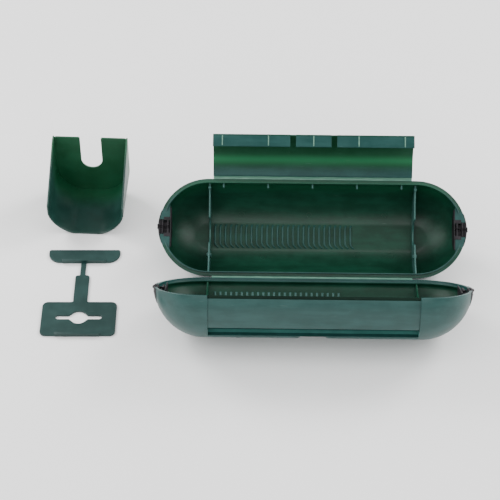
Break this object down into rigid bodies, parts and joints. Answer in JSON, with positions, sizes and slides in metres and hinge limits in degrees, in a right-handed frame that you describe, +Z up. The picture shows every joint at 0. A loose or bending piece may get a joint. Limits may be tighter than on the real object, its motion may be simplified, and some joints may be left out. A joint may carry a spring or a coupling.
{
  "type": "cable connection box",
  "caption": "Capsule-shaped clamshell box for a joined plug and socket, with hinged halves, a latch flap, cable seals, a plug stop insert and a hanger bracket.",
  "frame": {"origin": "on the floor under the middle of the whole set, box and loose accessories together", "axes": "+X along the box, +Y from the front shell to the rear shell, +Z up"},
  "size_m": [0.5236, 0.2991, 0.1568],
  "materials": {
    "moulded_plastic": "satin moulded polypropylene, dark green",
    "accessory_plastic": "satin moulded polypropylene, dark green",
    "hinge_web": "thin stretched web, paler green",
    "seal_rubber": "matt black rubber"
  },
  "bodies": {
    "rear_half": {"rear_shell": "moulded_plastic", "rear_left_bulkhead": "moulded_plastic", "rear_right_bulkhead": "moulded_plastic", "rear_rack": "moulded_plastic", "rear_left_seal": "seal_rubber", "rear_right_seal": "seal_rubber", "main_hinge_web": "hinge_web"},
    "front_half": {"front_shell": "moulded_plastic", "front_left_bulkhead": "moulded_plastic", "front_right_bulkhead": "moulded_plastic", "front_rack": "moulded_plastic", "front_left_seal": "seal_rubber", "front_right_seal": "seal_rubber"},
    "flap": {"closing_flap": "moulded_plastic", "flap_hinge_web": "hinge_web"},
    "insert": {"plug_stop_insert": "accessory_plastic"},
    "hanger": {"hanger_bracket": "accessory_plastic"}
  },
  "joints": [
    {"name": "main_hinge", "type": "hinge", "parent": "rear_half", "child": "front_half", "pos_m": [0.07114, -0.03761, 0.02532], "axis": [-1, 0, 0], "range_deg": [-70, 110]},
    {"name": "flap_hinge", "type": "hinge", "parent": "rear_half", "child": "flap", "pos_m": [0.07114, 0.0647, 0.09574], "axis": [1, 0, 0], "range_deg": [-60, 77]},
    {"name": "insert_lift", "type": "slide", "parent": "rear_half", "child": "insert", "axis": [0, 0, 1], "range_m": [0, 0.1]},
    {"name": "hanger_lift", "type": "slide", "parent": "rear_half", "child": "hanger", "axis": [0, 0, 1], "range_m": [0, 0.1]}
  ]
}
